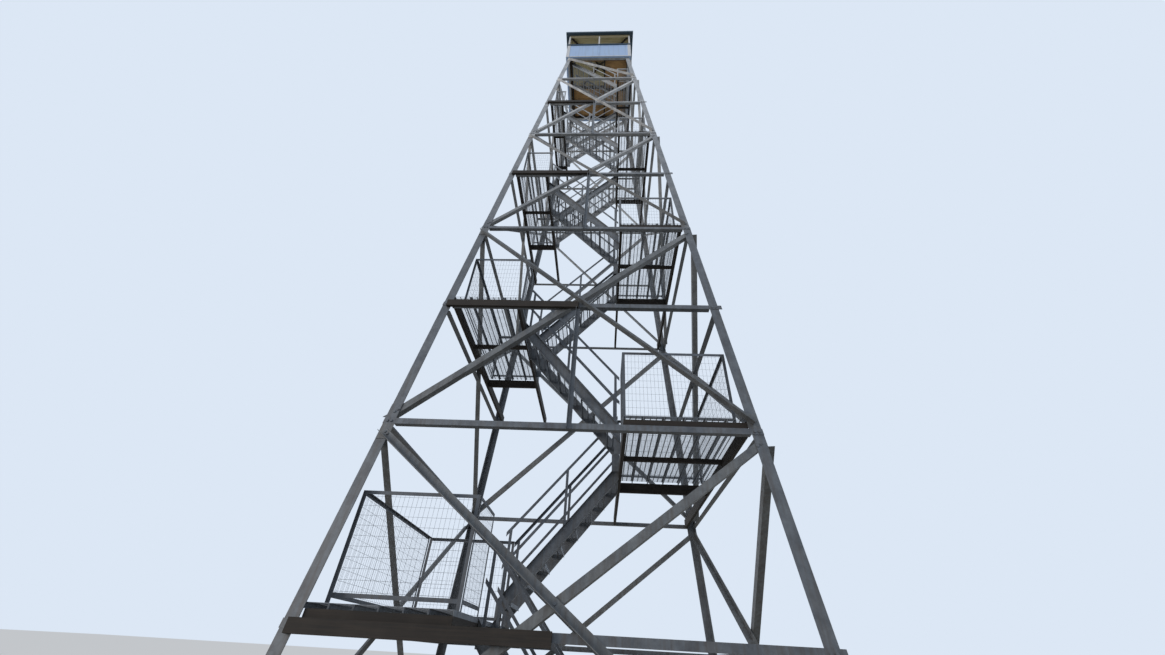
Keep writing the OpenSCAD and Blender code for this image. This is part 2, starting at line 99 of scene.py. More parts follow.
bpy.context.collection.objects.link(lamp)


# The floor is a plain pale sheet far wider than the tower. The eye sees it a little
# paler than the light that it throws back up at the steel.
def piece_of(name, vertices, edges, faces):
    """A new piece that sits at the origin, with its place in its mesh."""
    mesh = bpy.data.meshes.new(name)
    mesh.from_pydata([tuple(v) for v in vertices], edges, faces)
    piece = bpy.data.objects.new(name, mesh)
    bpy.context.collection.objects.link(piece)
    return piece


def bare_finish(name):
    """A new material, and its node tree with nothing in it yet."""
    finish = bpy.data.materials.new(name)
    finish.use_nodes = True
    finish.node_tree.nodes.clear()
    return finish, finish.node_tree


floor_edge = 300
floor = piece_of("floor", [(-floor_edge, -floor_edge, 0), (floor_edge, -floor_edge, 0),
                           (floor_edge, floor_edge, 0), (-floor_edge, floor_edge, 0)],
                 [], [(0, 1, 2, 3)])
pale, t = bare_finish("pale floor")
ray = add(t, "ShaderNodeLightPath").outputs
shade = add(t, "ShaderNodeMix", {"Factor": ray["Is Camera Ray"], "A": linear("#C4C2BC"),
            "B": linear("#E2E6EA")}, data_type="RGBA")
skin = add(t, "ShaderNodeBsdfDiffuse", {"Color": shade})
add(t, "ShaderNodeOutputMaterial", {"Surface": skin})
floor.data.materials.append(pale)


# Footings: four blocks of cast concrete that carry the foot plates. The fine grit
# is drawn 12 mm wide so that it shows; splashed rain has darkened the sides from below.
def coat(names, finish):
    """Gives pieces of the frame their finish."""
    for name in names:
        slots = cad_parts[name].data.materials
        slots.clear()
        slots.append(finish)


splash_top = 0.16
concrete, t = bare_finish("cast concrete")
place = add(t, "ShaderNodeTexCoord").outputs["Object"]
cloud = add(t, "ShaderNodeTexNoise", {"Vector": place, "Scale": 3.5, "Detail": 6,
            "Roughness": 0.65})
grit = add(t, "ShaderNodeTexNoise", {"Vector": place, "Scale": 85, "Detail": 3})
tone = add(t, "ShaderNodeValToRGB", {"Fac": cloud})
for stop, at, colour in zip(tone.color_ramp.elements, (0.35, 0.68), ("#77736A", "#A9A69D")):
    stop.position, stop.color = at, linear(colour)
height = add(t, "ShaderNodeSeparateXYZ", {"Vector": place}).outputs["Z"]
damp = add(t, "ShaderNodeMapRange", {"Value": height, "From Min": 0.0, "From Max": splash_top,
           "To Min": 0.55, "To Max": 0.0})
wet = add(t, "ShaderNodeMix", {"Factor": damp, "A": tone, "B": linear("#4F4B42")},
          data_type="RGBA")
bump = add(t, "ShaderNodeBump", {"Height": grit, "Strength": 0.5, "Distance": 0.006})
skin = add(t, "ShaderNodeBsdfPrincipled", {"Base Color": wet, "Roughness": 0.9, "Normal": bump})
add(t, "ShaderNodeOutputMaterial", {"Surface": skin})
coat(["footings"], concrete)


# Foot plates, legs, girts and braces: hot-dip galvanised rolled angles and plates. Zinc
# weathers to a matt grey crust with a faint spangle, drawn 45 mm wide so that it shows.
# Toward the ground it is brown with dirt and painted shade. At the top it is paler with
# painted sunlight, and the braces carry the most painted sunlight.
def galvanised(name, dark, light, dirt_and_shade, rough, top_painted_light=0.75):
    """Zinc between two greys. The fourth argument is its share of dirt and painted shade near
    the ground, in rain streaks 40 mm wide, and the last is how far painted sunlight pales its
    top."""
    lit_from, lit_full, dirt_shade_full, dirt_shade_least, spangle_share = 7.0, 16.0, 1.0, 11.0, 0.12
    steel, t = bare_finish(name)
    place = add(t, "ShaderNodeTexCoord").outputs["Object"]
    spangle = add(t, "ShaderNodeTexVoronoi", {"Vector": place, "Scale": 22})
    crust = add(t, "ShaderNodeTexNoise", {"Vector": place, "Scale": 4, "Detail": 7,
                "Roughness": 0.7})
    both = add(t, "ShaderNodeMath", {0: spangle.outputs["Color"], 1: spangle_share, 2: crust},
               operation="MULTIPLY_ADD")
    tone = add(t, "ShaderNodeValToRGB", {"Fac": both})
    for stop, at, colour in zip(tone.color_ramp.elements, (0.32, 0.82), (dark, light)):
        stop.position, stop.color = at, linear(colour)
    down = add(t, "ShaderNodeMapping", {"Vector": place, "Scale": (26, 26, 0.9)})
    streak = add(t, "ShaderNodeTexNoise", {"Vector": down, "Scale": 1, "Detail": 4})
    height = add(t, "ShaderNodeSeparateXYZ", {"Vector": place}).outputs["Z"]
    # Painted sunlight: the zinc pales toward its top, from 7 m up to 16 m.
    top_light = add(t, "ShaderNodeMapRange", {"Value": height, "From Min": lit_from,
                "From Max": lit_full, "To Min": 0.0, "To Max": top_painted_light})
    lit_tone = add(t, "ShaderNodeMapRange", {"Value": both, "From Min": 0.35, "From Max": 0.75,
                "To Min": 0.0, "To Max": 1.0})
    lit_tone = add(t, "ShaderNodeMix", {"Factor": lit_tone, "A": linear("#989EA5"),
                "B": linear("#D6D9DC")}, data_type="RGBA")
    top_lit = add(t, "ShaderNodeMix", {"Factor": top_light, "A": tone, "B": lit_tone}, data_type="RGBA")
    # Dirt and painted shade: browner and darker toward the ground, strongest below 1 m, a quarter
    # as strong at 11 m.
    low = add(t, "ShaderNodeMapRange", {"Value": height, "From Min": dirt_shade_full,
              "From Max": dirt_shade_least, "To Min": dirt_and_shade, "To Max": dirt_and_shade * 0.25})
    run = add(t, "ShaderNodeMapRange", {"Value": streak, "From Min": 0.42, "From Max": 0.72,
              "To Min": 0.25, "To Max": 1.0})
    amount = add(t, "ShaderNodeMath", {0: low, 1: run}, operation="MULTIPLY")
    soiled_and_shaded = add(t, "ShaderNodeMix", {"Factor": amount, "A": top_lit, "B": linear("#4B4239")},
                 data_type="RGBA")
    matt = add(t, "ShaderNodeMapRange", {"Value": crust, "From Min": 0.3, "From Max": 0.7,
               "To Min": rough - 0.1, "To Max": rough + 0.1})
    bump = add(t, "ShaderNodeBump", {"Height": both, "Strength": 0.25, "Distance": 0.002})
    skin = add(t, "ShaderNodeBsdfPrincipled", {"Base Color": soiled_and_shaded, "Metallic": 0.45,
               "Roughness": matt, "Normal": bump})
    add(t, "ShaderNodeOutputMaterial", {"Surface": skin})
    return steel


# Painted shade: the zinc of the legs, girts and the rest of the frame is drawn darker than
# weathered zinc is.
weathered_zinc_painted_shade = galvanised("weathered galvanised steel with painted shade", "#474E57", "#757E88", 0.6, 0.55, 0.6)
# Painted sunlight: the braces' zinc is a lighter copy, paled fully at the top.
brace_zinc_painted_sunlight = galvanised("galvanised steel with painted sunlight", "#4A5057", "#7C8389", 0.6, 0.55, 1.0)
coat(["foot_plates", "leg_front_left", "leg_front_right", "leg_back_right", "leg_back_left",
      "girts_front", "girts_right", "girts_back", "girts_left"], weathered_zinc_painted_shade)
coat(["braces_front", "braces_right", "braces_back", "braces_left"], brace_zinc_painted_sunlight)


# Anchor rods: four to a foot plate, threaded rod with a hexagon nut, cast into the
# footing and pulled down on the plate.
def open_tree(name, sizes):
    """A geometry tree, and the sockets that give it its named inputs."""
    tree = bpy.data.node_groups.new(name, "GeometryNodeTree")
    for size, kind in sizes.items():
        tree.interface.new_socket(size, in_out="INPUT", socket_type="NodeSocket" + kind)
    tree.interface.new_socket("Geometry", in_out="OUTPUT", socket_type="NodeSocketGeometry")
    return tree, add(tree, "NodeGroupInput").outputs


# A tree that gives each edge of a mesh a round or many-sided body.
bar_tree, given = open_tree("bars", {"Geometry": "Geometry", "Radius": "Float", "Sides": "Int",
                                     "Finish": "Material"})
lines = add(bar_tree, "GeometryNodeMeshToCurve", {"Mesh": given["Geometry"]})
ring = add(bar_tree, "GeometryNodeCurvePrimitiveCircle", {"Resolution": given["Sides"],
           "Radius": given["Radius"]})
bars = add(bar_tree, "GeometryNodeCurveToMesh", {"Curve": lines, "Profile Curve": ring,
           "Fill Caps": True})
bars = add(bar_tree, "GeometryNodeRealizeInstances", {"Geometry": bars})
bars = add(bar_tree, "GeometryNodeSetMaterial", {"Geometry": bars, "Material": given["Finish"]})
add(bar_tree, "NodeGroupOutput", {"Geometry": bars})


def settle(piece, tree, values):
    """Runs a node tree on a piece with the given inputs and keeps the plain mesh."""
    modifier = piece.modifiers.new(tree.name, "NODES")
    modifier.node_group = tree
    for item in tree.interface.items_tree:
        if item.in_out == "INPUT" and item.name in values:
            modifier[item.identifier] = values[item.name]
    graph = bpy.context.evaluated_depsgraph_get()
    made = bpy.data.meshes.new_from_object(piece.evaluated_get(graph))
    piece.modifiers.clear()
    piece.data = made
    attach(piece, "root")
    return piece


def bars_along(name, segments, radius, sides, finish):
    """Round or many-sided bars along straight lines: rods, bolts, wires and hip caps."""
    points = [p for s in segments for p in s]
    piece = piece_of(name, points, [(2 * i, 2 * i + 1) for i in range(len(segments))], [])
    return settle(piece, bar_tree, {"Radius": radius, "Sides": sides, "Finish": finish})


# Nine levels up to the cab, half the width over the legs there, and the lean of a side.
levels, level, top_half, batter = 9, 2.057, 1.067, 0.0835
cab_level = levels * level


def half(z):
    """Half width over the leg corners at a height."""
    return top_half + batter * (cab_level - z)


corners = [(x, y) for x in (-1, 1) for y in (-1, 1)]
plate_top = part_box("foot_plates")[1].z
leg_foot, leg_w = 0.270, 0.127
rod_out, rod_up, rod_r, nut_up, nut_r = 0.12, 0.06, 0.012, 0.024, 0.021
foot = half(leg_foot) - leg_w / 3
rods, nuts = [], []
for sx, sy in corners:
    for dx, dy in corners:
        x, y = sx * foot + dx * rod_out, sy * foot + dy * rod_out
        rods.append(((x, y, plate_top), (x, y, plate_top + rod_up)))
        nuts.append(((x, y, plate_top), (x, y, plate_top + nut_up)))
bars_along("anchor_rods", rods, rod_r, 8, weathered_zinc_painted_shade)
bars_along("anchor_nuts", nuts, nut_r, 6, weathered_zinc_painted_shade)

# Bolts of the frame: hexagon heads 29 mm over their flats where braces and girts meet
# the legs, and one bolt through each crossed pair of braces.
slope_length = math.hypot(1, batter)
crossed, brace_foot, brace_end, brace_inset = 4, 0.430, 0.125, 0.052
brace_low = [brace_foot] + [2 * j * level + brace_end for j in range(1, crossed + 1)]
brace_high = [2 * j * level - brace_end for j in range(1, crossed + 1)] + [cab_level - brace_end]
outer_face, inner_face, girt_face, head_h, head_r = 0.0123, -0.0165, 0.006, 0.010, 0.0165
brace_first, brace_pitch, brace_shift = 0.025, 0.045, 0.010
girt_first, girt_pitch, girt_up = 0.040, 0.050, 0.010
heads = []


def bolt(side, u, z, start, end):
    """A bolt square to a leaning side, u along it and at height z on its face, between
    two distances out from the face."""
    ends = []
    for out in (start, end):
        x, y = u, -half(z) - out / slope_length
        for _ in range(side):
            x, y = -y, x
        ends.append((x, y, z + out * batter / slope_length))
    heads.append(ends)


for side in range(4):
    for j, (a, b) in enumerate(zip(brace_low, brace_high)):
        ua, ub = half(a) - brace_inset, half(b) - brace_inset
        length = math.hypot(ua + ub, (b - a) * slope_length)
        for i in range(2):
            d = (brace_first + brace_pitch * i) / length
            for along in (d, 1 - d):
                u, z = -ub + (ua + ub) * along, b + (a - b) * along
                bolt(side, u + brace_shift, z, outer_face, outer_face + head_h)
                if j < crossed:
                    bolt(side, -u, z, inner_face, inner_face - head_h)
                    bolt(side, -u, z, 0.0, head_h)
        if j < crossed:
            z = b + (a - b) * ub / (ua + ub)
            bolt(side, 0.0, z, inner_face - head_h, outer_face + head_h)
    for k in range(levels):
        z = (k + 1) * level + girt_up
        for s in (-1, 1):
            for i in range(2):
                u = s * (half(z) - girt_first - girt_pitch * i)
                bolt(side, u, z, girt_face, girt_face + head_h)
bars_along("frame_bolts", heads, head_r, 6, weathered_zinc_painted_shade)


# Landing beams and joists: sawn softwood stained dark brown, grey where the stain has
# worn, and drawn near black with painted shade. Grain lines are drawn 18 mm apart, wider
# than the real ones, so that they show.
def stained_timber(name, along, dark, light):
    """Stained timber between two colours, with its grain along one axis."""
    across_grain, down_grain = 55.0, 2.2
    timber, t = bare_finish(name)
    place = add(t, "ShaderNodeTexCoord").outputs["Object"]
    stretch = [across_grain] * 3
    stretch[along] = down_grain
    grain = add(t, "ShaderNodeMapping", {"Vector": place, "Scale": stretch})
    lines = add(t, "ShaderNodeTexNoise", {"Vector": grain, "Scale": 1, "Detail": 5,
                "Distortion": 0.6})
    wear = add(t, "ShaderNodeTexNoise", {"Vector": place, "Scale": 2.6, "Detail": 5})
    tone = add(t, "ShaderNodeValToRGB", {"Fac": lines})
    for stop, at, colour in zip(tone.color_ramp.elements, (0.3, 0.7), (dark, light)):
        stop.position, stop.color = at, linear(colour)
    worn = add(t, "ShaderNodeMapRange", {"Value": wear, "From Min": 0.5, "From Max": 0.8,
               "To Min": 0.0, "To Max": 0.25})
    greyed = add(t, "ShaderNodeMix", {"Factor": worn, "A": tone, "B": linear("#46423D")},
                 data_type="RGBA")
    bump = add(t, "ShaderNodeBump", {"Height": lines, "Strength": 0.4, "Distance": 0.003})
    skin = add(t, "ShaderNodeBsdfPrincipled", {"Base Color": greyed, "Roughness": 0.8,
               "Normal": bump})
    add(t, "ShaderNodeOutputMaterial", {"Surface": skin})
    return timber


# The near black of these timbers is dark brown stain with the painted shade of their undersides.
timber_y_painted_shade = stained_timber("stained timber along Y with painted shade", 1, "#0D0B0A", "#221C18")
timber_x_painted_shade = stained_timber("stained timber along X with painted shade", 0, "#0D0B0A", "#221C18")
coat(["landing_beams", "cab_floor_beams"], timber_y_painted_shade)
coat(["landing_joists", "cab_floor_joists"], timber_x_painted_shade)

# Grating planks: galvanised sheet folded to a channel. Its top is punched with rows of
# wide six-sided openings 31 mm apart and keeps a plain strip beside each flange. The
# zinc is paler and cleaner than that of the legs.
grating_zinc = galvanised("punched galvanised sheet", "#5A636E", "#8F99A5", 0.45, 0.6)
tip, shoulder, flat = 0.46, 0.37, 0.41
cell = piece_of("grating_cell", [
    (-0.5, -0.5, 0), (0.5, -0.5, 0), (0.5, 0.5, 0), (-0.5, 0.5, 0), (-tip, 0, 0),
    (-shoulder, -flat, 0), (shoulder, -flat, 0), (tip, 0, 0), (shoulder, flat, 0),
    (-shoulder, flat, 0)], [], [
    (0, 5, 4), (0, 1, 6, 5), (1, 7, 6), (1, 2, 7), (2, 8, 7), (2, 3, 9, 8), (3, 4, 9), (3, 0, 4)])
grating_tree, given = open_tree("grating run", {
    "Geometry": "Geometry", "Cell": "Object", "Planks": "Int", "Step": "Vector",
    "Corner": "Vector", "Width": "Float", "Length": "Float", "Depth": "Float",
    "Sheet": "Float", "Strip": "Float", "Rows": "Int", "Cells": "Int", "Finish": "Material"})
t = grating_tree
length, sheet, strip = given["Length"], given["Sheet"], given["Strip"]
half_w = add(t, "ShaderNodeMath", {0: given["Width"], 1: 0.5}, operation="MULTIPLY")
half_l = add(t, "ShaderNodeMath", {0: length, 1: 0.5}, operation="MULTIPLY")
half_s = add(t, "ShaderNodeMath", {0: sheet, 1: 0.5}, operation="MULTIPLY")
under = add(t, "ShaderNodeMath", {0: given["Depth"], 1: sheet}, operation="SUBTRACT")
# The punched field of a plank: one cell on each point of a grid, joined and thickened.
punched = add(t, "ShaderNodeMath", {0: strip, 1: -2.0, 2: given["Width"]},
              operation="MULTIPLY_ADD")
pitch_x = add(t, "ShaderNodeMath", {0: punched, 1: given["Rows"]}, operation="DIVIDE")
pitch_y = add(t, "ShaderNodeMath", {0: length, 1: given["Cells"]}, operation="DIVIDE")
span_x = add(t, "ShaderNodeMath", {0: punched, 1: pitch_x}, operation="SUBTRACT")
span_y = add(t, "ShaderNodeMath", {0: length, 1: pitch_y}, operation="SUBTRACT")
points = add(t, "GeometryNodeMeshGrid", {"Size X": span_x, "Size Y": span_y,
             "Vertices X": given["Rows"], "Vertices Y": given["Cells"]})
shape = add(t, "GeometryNodeObjectInfo", {"Object": given["Cell"]})
size = add(t, "ShaderNodeCombineXYZ", {"X": pitch_x, "Y": pitch_y, "Z": 1.0})
cells = add(t, "GeometryNodeInstanceOnPoints", {"Points": points,
            "Instance": shape.outputs["Geometry"], "Scale": size})
cells = add(t, "GeometryNodeRealizeInstances", {"Geometry": cells})
joined = add(t, "GeometryNodeMergeByDistance", {"Geometry": cells, "Distance": 0.0005})
centre = add(t, "ShaderNodeCombineXYZ", {"X": half_w, "Y": half_l, "Z": under})
underside = add(t, "GeometryNodeTransform", {"Geometry": joined, "Translation": centre})
lift = add(t, "ShaderNodeCombineXYZ", {"Z": sheet})
raised = add(t, "GeometryNodeExtrudeMesh", {"Mesh": underside, "Offset": lift,
             "Individual": False}, mode="FACES")
turned = add(t, "GeometryNodeFlipFaces", {"Mesh": underside})
top = add(t, "GeometryNodeJoinGeometry")
for part in (raised, turned):
    t.links.new(part.outputs[0], top.inputs[0])
top = add(t, "GeometryNodeMergeByDistance", {"Geometry": top, "Distance": 0.0004})
# The two flanges and the two plain strips of a plank, and the row of planks.
web_size = add(t, "ShaderNodeCombineXYZ", {"X": sheet, "Y": length, "Z": under})
web = add(t, "GeometryNodeMeshCube", {"Size": web_size})
web_z = add(t, "ShaderNodeMath", {0: under, 1: 0.5}, operation="MULTIPLY")
web_far = add(t, "ShaderNodeMath", {0: given["Width"], 1: half_s}, operation="SUBTRACT")
strip_size = add(t, "ShaderNodeCombineXYZ", {"X": strip, "Y": length, "Z": sheet})
plain = add(t, "GeometryNodeMeshCube", {"Size": strip_size})
strip_z = add(t, "ShaderNodeMath", {0: given["Depth"], 1: half_s}, operation="SUBTRACT")
strip_near = add(t, "ShaderNodeMath", {0: strip, 1: 0.5}, operation="MULTIPLY")
strip_far = add(t, "ShaderNodeMath", {0: given["Width"], 1: strip_near}, operation="SUBTRACT")
plank = add(t, "GeometryNodeJoinGeometry")
t.links.new(top.outputs[0], plank.inputs[0])
for bar, x, z in ((web, half_s, web_z), (web, web_far, web_z),
                  (plain, strip_near, strip_z), (plain, strip_far, strip_z)):
    place = add(t, "ShaderNodeCombineXYZ", {"X": x, "Y": half_l, "Z": z})
    part = add(t, "GeometryNodeTransform", {"Geometry": bar, "Translation": place})
    t.links.new(part.outputs[0], plank.inputs[0])
row = add(t, "GeometryNodeMeshLine", {"Count": given["Planks"], "Offset": given["Step"],
          "Start Location": given["Corner"]}, mode="OFFSET")
row = add(t, "GeometryNodeInstanceOnPoints", {"Points": row, "Instance": plank})
row = add(t, "GeometryNodeRealizeInstances", {"Geometry": row})
row = add(t, "GeometryNodeSetMaterial", {"Geometry": row, "Material": given["Finish"]})
add(t, "NodeGroupOutput", {"Geometry": row})
plank_depth, sheet_t, strip_w, cell_pitch = 0.048, 0.003, 0.014, 0.031
widest_plank, plank_gap, rounding, deck_rows, tread_rows = 0.272, 0.005, 1e-4, 3, 2


def grating(name, planks, step, corner, width, length, rows):
    """A run of equal planks, the first at a corner and each a step from the one before."""
    return settle(piece_of(name, [(0, 0, 0)], [], []), grating_tree, {
        "Cell": cell, "Planks": planks, "Step": step, "Corner": corner, "Width": width,
        "Length": length, "Depth": plank_depth, "Sheet": sheet_t, "Strip": strip_w,
        "Rows": rows, "Cells": round(length / cell_pitch), "Finish": grating_zinc})


for k in range(levels - 1):
    low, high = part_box(f"deck_{k}")
    whole = high.x - low.x + plank_gap
    count = math.ceil(whole / widest_plank - rounding)
    step = whole / count
    planks = grating(f"grating_{k}", count, (step, 0, 0), low, step - plank_gap,
                     high.y - low.y, deck_rows)
    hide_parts(f"deck_{k}")

# Flights: two stringers, galvanised channels with their flanges turned out, and treads
# of the same punched plank bolted between them. A stringer's foot is cut to its web and
# hangs over the landing's beam; those of the lowest flight are cut level on the ground.
box_faces = ((0, 2, 3, 1), (4, 5, 7, 6), (0, 1, 5, 4), (2, 6, 7, 3), (0, 4, 6, 2), (1, 3, 7, 5))


def solid(name, vertices, faces, finish):
    """A piece of plain flat faces in one finish."""
    piece = piece_of(name, vertices, [], faces)
    piece.data.materials.append(finish)
    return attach(piece, "root")


deck_rise, stair_middle, stair_half, risers = 0.180, -0.130, 0.780, 9
rise, going = level / risers, 2 * stair_half / (risers - 1)
slope = rise / going
pitch_cos = math.cos(math.atan(slope))
stringer_h, web_t, flange, toe = 0.152, 0.006, 0.034, 0.090
depth, lip = stringer_h / pitch_cos, web_t / pitch_cos
tread_w, tread_clear = 0.190, 0.0003
tread_in = flange + web_t + tread_clear
for n in range(levels):
    low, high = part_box(f"flight_{n}")
    way = 1 if n % 2 == 0 else -1
    lowest = n == 0
    nose_foot = stair_half + ((deck_rise if lowest else 0) + rise) / slope
    foot_x = nose_foot if lowest else stair_half
    vertices, faces = [], []
    for y, out in ((low.y + flange, -1), (high.y - flange, 1)):
        web, edge = y - out * web_t, y + out * flange
        profile = [(web, 0), (edge, 0), (edge, lip), (y, lip),
                   (y, depth - lip), (edge, depth - lip), (edge, depth), (web, depth)]
        first, count = len(vertices), len(profile)
        for x in (foot_x, -stair_half):
            for py, d in profile:
                px = x - (d / slope if lowest and x > 0 else 0)
                vertices.append((stair_middle + way * px, py,
                                 high.z - (px + stair_half) * slope - d))
        ends = [tuple(range(first, first + count)),
                tuple(range(first + 2 * count - 1, first + count - 1, -1))]
        walls = [(first + (i + 1) % count, first + i, first + count + i,
                  first + count + (i + 1) % count) for i in range(count)]
        if not lowest:
            for x in (foot_x, foot_x - toe):
                nose = high.z - (x + stair_half) * slope
                vertices += [(stair_middle + way * x, py, z) for py in (web, y)
                             for z in (low.z, nose - depth)]
            walls += [tuple(first + 2 * count + i for i in f[::-1]) for f in box_faces]
        flip = (out < 0) != (way < 0)
        faces += [f[::-1] for f in ends + walls] if flip else ends + walls
    stringers = solid(f"stringers_{n}", vertices, faces, weathered_zinc_painted_shade)
    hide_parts(f"flight_{n}")
    number, parts = (risers, risers + 1) if lowest else (risers - 1, risers)
    run = (nose_foot + stair_half) / parts
    nosing = stair_middle + way * (nose_foot - run)
    corner = (nosing - tread_w if way > 0 else nosing, low.y + tread_in,
              high.z - (nose_foot + stair_half - run) * slope - plank_depth)
    treads = grating(f"treads_{n}", number, (-way * run, 0, run * slope), corner, tread_w,
                     high.y - low.y - 2 * tread_in, tread_rows)
    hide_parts(f"flight_{n}")
bpy.data.objects.remove(cell)

# Stair rails and landing guards: light galvanised angles welded into frames and bolted
# to the stringers and the decks. Their zinc is drawn darker than that of the legs, as painted
# shade.
rail_zinc_painted_shade = galvanised("galvanised rail angle with painted shade", "#3E4650", "#646D78", 0.5, 0.5)
coat(["stair_rails_front", "stair_rails_back", "guards_left", "guards_right"], rail_zinc_painted_shade)

# Guard infill: welded mesh of 2.5 mm galvanised wire, upright wires 50 mm apart and level
# ones 100 mm apart, tied behind the posts and rails of each panel.
lanes = [-1.400, -0.620, -1.400, -0.620, -1.400, -0.280, -1.060, -0.070, -0.850]
deck_back = [0.130, 0.130, 0.420, 0.200, 0.440, 0.500, 0.680, 0.680]
lane_w, guard_h, guard_foot, angle_w, least_panel = 0.680, 1.067, 0.060, 0.038, 0.180
brace_reach, brace_clear, guard_gap, stair_room = 0.099, 0.006, 0.003, 0.046
wire_r, wire_in, wire_top, upright_pitch = 0.00125, 0.003, 0.006, 0.050
level_wires, level_pitch, level_first = 10, 0.100, 0.050
for s, side_name in ((-1, "left"), (1, "right")):
    wires = []
    for k in range(0 if s < 0 else 1, levels - 1, 2):
        deck_z = (k + 1) * level + deck_rise
        line = half(deck_z + guard_h) - brace_reach * slope_length - brace_clear
        outer_x, inner_x = line - s * stair_middle, stair_half + guard_gap
        back = deck_back[k] - angle_w
        near, far = min(lanes[k], lanes[k + 1]), max(lanes[k], lanes[k + 1])
        panels = [((inner_x, -line + wire_in), (outer_x, -line + wire_in)),
                  ((outer_x - wire_in, -line + angle_w), (outer_x - wire_in, back)),
                  ((inner_x, back + angle_w - wire_in), (outer_x, back + angle_w - wire_in))]
        for y0, y1 in ((-line + angle_w + guard_gap, near - stair_room),
                       (near + lane_w + stair_room, far - stair_room),
                       (far + lane_w + stair_room, back - guard_gap)):
            if y1 - y0 > least_panel:
                panels.append(((inner_x + wire_in, y0), (inner_x + wire_in, y1)))
        for p, q in panels:
            count = round(math.dist(p, q) / upright_pitch)
            for i in range(count):
                f = (i + 0.5) / count
                x = stair_middle + s * (p[0] + (q[0] - p[0]) * f)
                y = p[1] + (q[1] - p[1]) * f
                wires.append(((x, y, deck_z + guard_foot), (x, y, deck_z + guard_h - wire_top)))
            for m in range(level_wires):
                z = deck_z + guard_foot + level_first + m * level_pitch
                wires.append(((stair_middle + s * p[0], p[1], z),
                              (stair_middle + s * q[0], q[1], z)))
    # The wires take the rail zinc, drawn darker with painted shade.
    mesh = bars_along(f"guard_mesh_{side_name}", wires, wire_r, 4, rail_zinc_painted_shade)

# Cab floor: 48 mm of orange-brown plywood laid over the beams, stained darker in patches
# where rain comes in. Its face grain is drawn 22 mm apart so that it shows.
plywood, t = bare_finish("weathered plywood")
place = add(t, "ShaderNodeTexCoord").outputs["Object"]
grain = add(t, "ShaderNodeMapping", {"Vector": place, "Scale": (4, 45, 45)})
lines = add(t, "ShaderNodeTexNoise", {"Vector": grain, "Scale": 1, "Detail": 5,
            "Distortion": 1.2})
tone = add(t, "ShaderNodeValToRGB", {"Fac": lines})
for stop, at, colour in zip(tone.color_ramp.elements, (0.3, 0.7), ("#8A6A44", "#C29C69")):
    stop.position, stop.color = at, linear(colour)
stain = add(t, "ShaderNodeTexNoise", {"Vector": place, "Scale": 5.5, "Detail": 6,
            "Roughness": 0.6})
spot = add(t, "ShaderNodeMapRange", {"Value": stain, "From Min": 0.50, "From Max": 0.68,
           "To Min": 0.0, "To Max": 0.7})
stained = add(t, "ShaderNodeMix", {"Factor": spot, "A": tone, "B": linear("#5E4C3A")},
              data_type="RGBA")
bump = add(t, "ShaderNodeBump", {"Height": lines, "Strength": 0.3, "Distance": 0.002})
skin = add(t, "ShaderNodeBsdfPrincipled", {"Base Color": stained, "Roughness": 0.75,
           "Normal": bump})
add(t, "ShaderNodeOutputMaterial", {"Surface": skin})
coat(["cab_floor"], plywood)


# Cab walls, posts and window heads: boards and sheet under chalky paint with faint runs
# of dirt 50 mm wide, pale on the walls with the blue of skylit shade painted in, white on
# the posts and buff on the heads.
# The boards at the sills and the eaves are painted dark blue-grey.
def chalky_paint(name, colour, shade):
    """Paint that has clouded between its colour and a shade of it."""
    paint, t = bare_finish(name)
    place = add(t, "ShaderNodeTexCoord").outputs["Object"]
    cloud = add(t, "ShaderNodeTexNoise", {"Vector": place, "Scale": 2.4, "Detail": 7,
                "Roughness": 0.65})
    down = add(t, "ShaderNodeMapping", {"Vector": place, "Scale": (20, 20, 1.1)})
    streak = add(t, "ShaderNodeTexNoise", {"Vector": down, "Scale": 1, "Detail": 4})
    tone = add(t, "ShaderNodeMix", {"Factor": cloud, "A": linear(shade), "B": linear(colour)},
               data_type="RGBA")
    run = add(t, "ShaderNodeMapRange", {"Value": streak, "From Min": 0.52, "From Max": 0.8,
              "To Min": 0.0, "To Max": 0.25})
    dirty = add(t, "ShaderNodeMix", {"Factor": run, "A": tone, "B": linear("#5F625F")},
                data_type="RGBA")
    matt = add(t, "ShaderNodeMapRange", {"Value": cloud, "From Min": 0.3, "From Max": 0.7,
               "To Min": 0.5, "To Max": 0.75})
    bump = add(t, "ShaderNodeBump", {"Height": cloud, "Strength": 0.2, "Distance": 0.003})
    skin = add(t, "ShaderNodeBsdfPrincipled", {"Base Color": dirty, "Roughness": matt,
               "Normal": bump})
    add(t, "ShaderNodeOutputMaterial", {"Surface": skin})
    return paint


dark_paint = chalky_paint("dark blue-grey paint", "#50697E", "#384B5B")
# Painted skylight: the pale walls carry the blue of shade under open sky.
wall_paint_painted_skylight = chalky_paint("chalky pale paint with painted blue skylight", "#A6C4EC", "#8DABDA")
post_paint = chalky_paint("chalky white paint", "#D2D9E3", "#AFB7C2")
head_paint = chalky_paint("chalky buff paint", "#CFC6A6", "#ADA283")
coat(["cab_walls"], wall_paint_painted_skylight)
coat(["cab_posts"], post_paint)
coat(["cab_heads"], head_paint)


# Sill boards: a dark painted board lies on top of each wall under the windows, from
# post to post, and stands 45 mm out over the wall below.
def boards(name, blocks, finish):
    """Square-edged boards, each from its lowest to its highest corner."""
    vertices, faces = [], []
    for low, high in blocks:
        first = len(vertices)
        vertices += [(x, y, z) for z in (low[2], high[2]) for y in (low[1], high[1])
                     for x in (low[0], high[0])]
        faces += [tuple(first + i for i in f) for f in box_faces]
    return solid(name, vertices, faces, finish)


